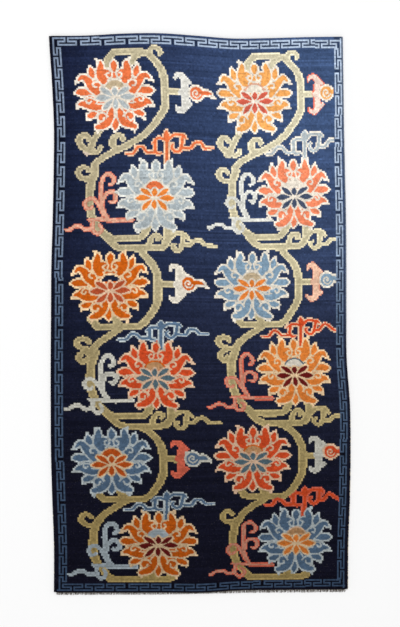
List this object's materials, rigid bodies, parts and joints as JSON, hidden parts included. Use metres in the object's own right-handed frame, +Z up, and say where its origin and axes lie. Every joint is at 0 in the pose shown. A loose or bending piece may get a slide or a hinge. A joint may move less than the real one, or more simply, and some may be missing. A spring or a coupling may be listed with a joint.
{
  "type": "tibetan khaden rug",
  "caption": "Flat knotted wool sleeping rug, navy with rows of lotus blossoms on winding vines inside a narrow key-fret border, with overcast sides and short cut warp ends.",
  "frame": {"origin": "under the middle of the rug, on the surface it lies on", "axes": "+X across the rug's width, +Y along its length towards the end that is uppermost in the picture, +Z up out of the pile"},
  "size_m": [0.9159, 1.7026, 0.0112],
  "materials": {
    "pile_wool": "cut wool pile, matt with a faint sheen, patterned",
    "overcast_wool": "plied wool wrapped round the edge warps, matt",
    "warp_cotton": "undyed plied yarn, cut and matted"
  },
  "bodies": {
    "root": {"carpet": "pile_wool", "selvedge_left": "overcast_wool", "selvedge_right": "overcast_wool", "warp_ends": "warp_cotton"}
  },
  "joints": []
}
